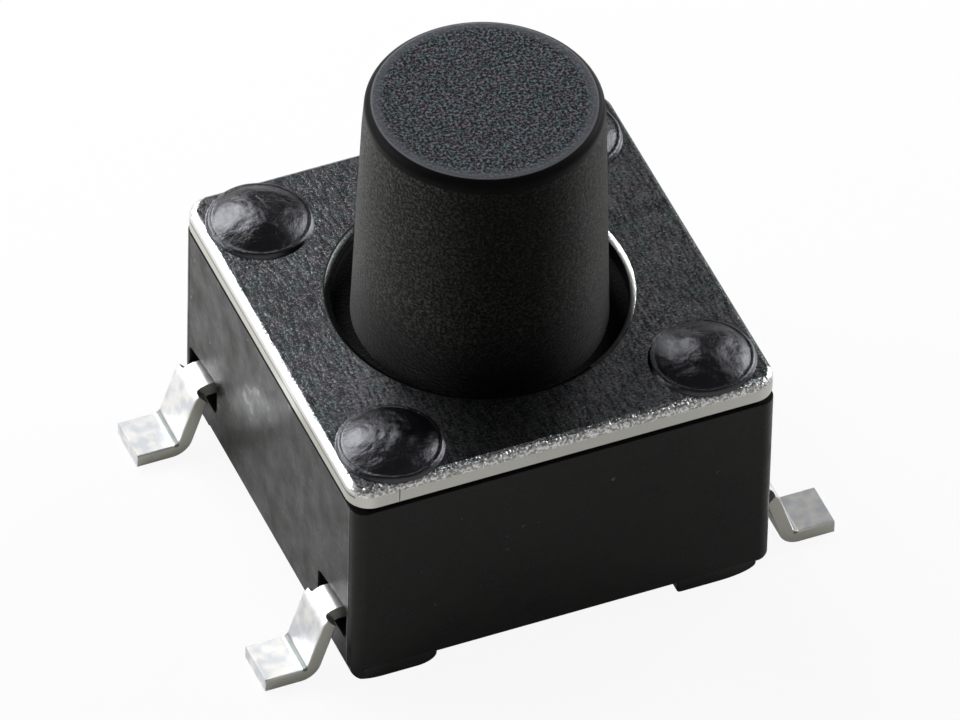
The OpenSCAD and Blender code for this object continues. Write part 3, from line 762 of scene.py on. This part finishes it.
share = node(tree, "GeometryNodeInputNamedAttribute", {"Name": "crown"}, data_type="FLOAT")
reach = node(tree, "ShaderNodeMath", {0: swing, 1: share}, operation="MULTIPLY")
push = node(tree, "ShaderNodeMath", {0: reach, 1: size["Lump height"]}, operation="MULTIPLY")
push = node(tree, "ShaderNodeCombineXYZ", {"Z": push})
pushed = node(tree, "GeometryNodeSetPosition", {"Geometry": real, "Offset": push})
clad = node(tree, "GeometryNodeSetMaterial", {"Geometry": pushed, "Material": molten})
node(tree, "NodeGroupOutput", {"Geometry": clad})

heads = bpy.data.objects.new("melted_heads", bpy.data.meshes.new("melted_heads"))
bpy.context.scene.collection.objects.link(heads)
grow(heads, tree, {"Pitch X": 2 * post_x, "Pitch Y": 2 * post_y, "Plate top": plate_high.z,
                   "Head radius": 0.72, "Head height": 0.215, "Lump size": 0.3, "Lump height": 0.35,
                   "Seed": 3.0})
plain_mesh(heads)
finish(heads, "housing", "base_plastic")


# ---- Floor, light and camera ----------------------------------------------------------
# A pale floor under three soft boxes: behind the switch, to its left and to its right. What is
# seen or mirrored of the surround is white at the horizon and dark overhead, with a pale card
# high in front. The floor glows faintly in the same way, and keeps the shadow.

def looked_at(tree):
    """The tree's light paths, and 1 for rays that look or mirror, 0 for those that only light."""
    rays = node(tree, "ShaderNodeLightPath")
    seen = node(tree, "ShaderNodeMath", {0: rays.outputs["Is Camera Ray"], 1: rays.outputs["Is Glossy Ray"]},
                operation="MAXIMUM")
    seen = node(tree, "ShaderNodeMath", {0: seen, 1: rays.outputs["Is Transmission Ray"]},
                operation="MAXIMUM")
    return rays, seen


paper, tree, place = new_material("white paper, matt")
fibre = node(tree, "ShaderNodeTexNoise", {"Vector": place, "Scale": grain(4.0), "Detail": 3.0})
tone = node(tree, "ShaderNodeMix", {"Factor": fibre, 6: linear("#f1f1f1"), 7: linear("#f6f6f6")},
            data_type="RGBA")
rays, seen = looked_at(tree)
tone = node(tree, "ShaderNodeMix", {"Factor": seen, 6: linear("#4a4a4a"), 7: tone.outputs[2]},
            data_type="RGBA")
matt = node(tree, "ShaderNodeBsdfDiffuse", {"Color": tone.outputs[2]})
glow = node(tree, "ShaderNodeEmission", {"Color": (1, 1, 1, 1), "Strength": 1.0})
part = node(tree, "ShaderNodeMath", {0: seen, 1: 0.15}, operation="MULTIPLY")
share = node(tree, "ShaderNodeMath", {0: rays.outputs["Is Camera Ray"], 1: 0.92}, operation="MULTIPLY")
share = node(tree, "ShaderNodeMath", {0: share, 1: part}, operation="MAXIMUM")
mixed = node(tree, "ShaderNodeMixShader", {0: share, 1: matt, 2: glow})
node(tree, "ShaderNodeOutputMaterial", {"Surface": mixed})
mesh = bpy.data.meshes.new("floor")
mesh.from_pydata([(-1, -1, 0), (1, -1, 0), (1, 1, 0), (-1, 1, 0)], [], [(0, 1, 2, 3)])
mesh.materials.append(paper)
ground = bpy.data.objects.new("floor", mesh)
bpy.context.scene.collection.objects.link(ground)
ground.location.z = cad_box[0].z

world = bpy.data.worlds.new("studio")
bpy.context.scene.world = world
world.use_nodes = True
tree = world.node_tree
tree.nodes.clear()
seen = looked_at(tree)[1]
toward = node(tree, "ShaderNodeSeparateXYZ",
              {"Vector": node(tree, "ShaderNodeTexCoord").outputs["Generated"]})
fade = node(tree, "ShaderNodeMapRange", {"Value": toward.outputs["Z"], "From Min": 0.0, "From Max": 0.1,
                                         "To Min": 1.0, "To Max": 0.09})
card = node(tree, "ShaderNodeMapRange", {"Value": toward.outputs["Y"], "From Min": -0.35, "From Max": -0.65,
                                         "To Max": 0.6})
fade = node(tree, "ShaderNodeMath", {0: fade, 1: card}, operation="MAXIMUM")
strength = node(tree, "ShaderNodeMix", {"Factor": seen, 2: 0.03, 3: fade}, data_type="FLOAT")
surround = node(tree, "ShaderNodeBackground", {"Color": (1, 1, 1, 1), "Strength": strength})
node(tree, "ShaderNodeOutputWorld", {"Surface": surround})


def soft_box(name, direction, distance, width, level):
    """A square lamp that faces the switch; level is its share of the light on a white card."""
    lamp = bpy.data.lights.new(name, "AREA")
    lamp.size = width
    lamp.energy = level * (math.pi * distance) ** 2
    holder = bpy.data.objects.new(name, lamp)
    bpy.context.scene.collection.objects.link(holder)
    aim = Vector(direction).normalized()
    turn = aim.to_track_quat("Z", "Y").to_matrix().to_4x4()
    holder.matrix_world = Matrix.Translation(aim * distance) @ turn


soft_box("rear_box", (-0.2, 0.76, 0.61), 0.07, 0.04, 0.75)
soft_box("left_box", (-0.8, 0.42, 0.42), 0.07, 0.034, 0.5)
soft_box("right_box", (0.88, 0.25, 0.41), 0.07, 0.04, 0.65)

# The camera looks down on the front left corner through a long lens
azimuth, elevation, roll = (math.radians(angle) for angle in (-23.6058, 44.1056, 1.4554))
distance, sideways, upwards = 0.23555, -0.0000043, 0.0007046
away = Vector((math.sin(azimuth) * math.cos(elevation), -math.cos(azimuth) * math.cos(elevation),
               math.sin(elevation)))
right = Vector((math.cos(azimuth), math.sin(azimuth), 0))
up = away.cross(right)
right, up = (math.cos(roll) * right + math.sin(roll) * up, math.cos(roll) * up - math.sin(roll) * right)
lens = bpy.data.cameras.new("camera")
lens.lens = 674.35
lens.sensor_width = 36
lens.clip_start = 0.01
lens.clip_end = 10
camera = bpy.data.objects.new("camera", lens)
bpy.context.scene.collection.objects.link(camera)
spot = Vector((0, 0, plate_low.z / 1000)) - sideways * right - upwards * up + distance * away
camera.matrix_world = Matrix.Translation(spot) @ Matrix((right, up, away)).transposed().to_4x4()
bpy.context.scene.camera = camera

bpy.context.scene.view_settings.view_transform = "Standard"
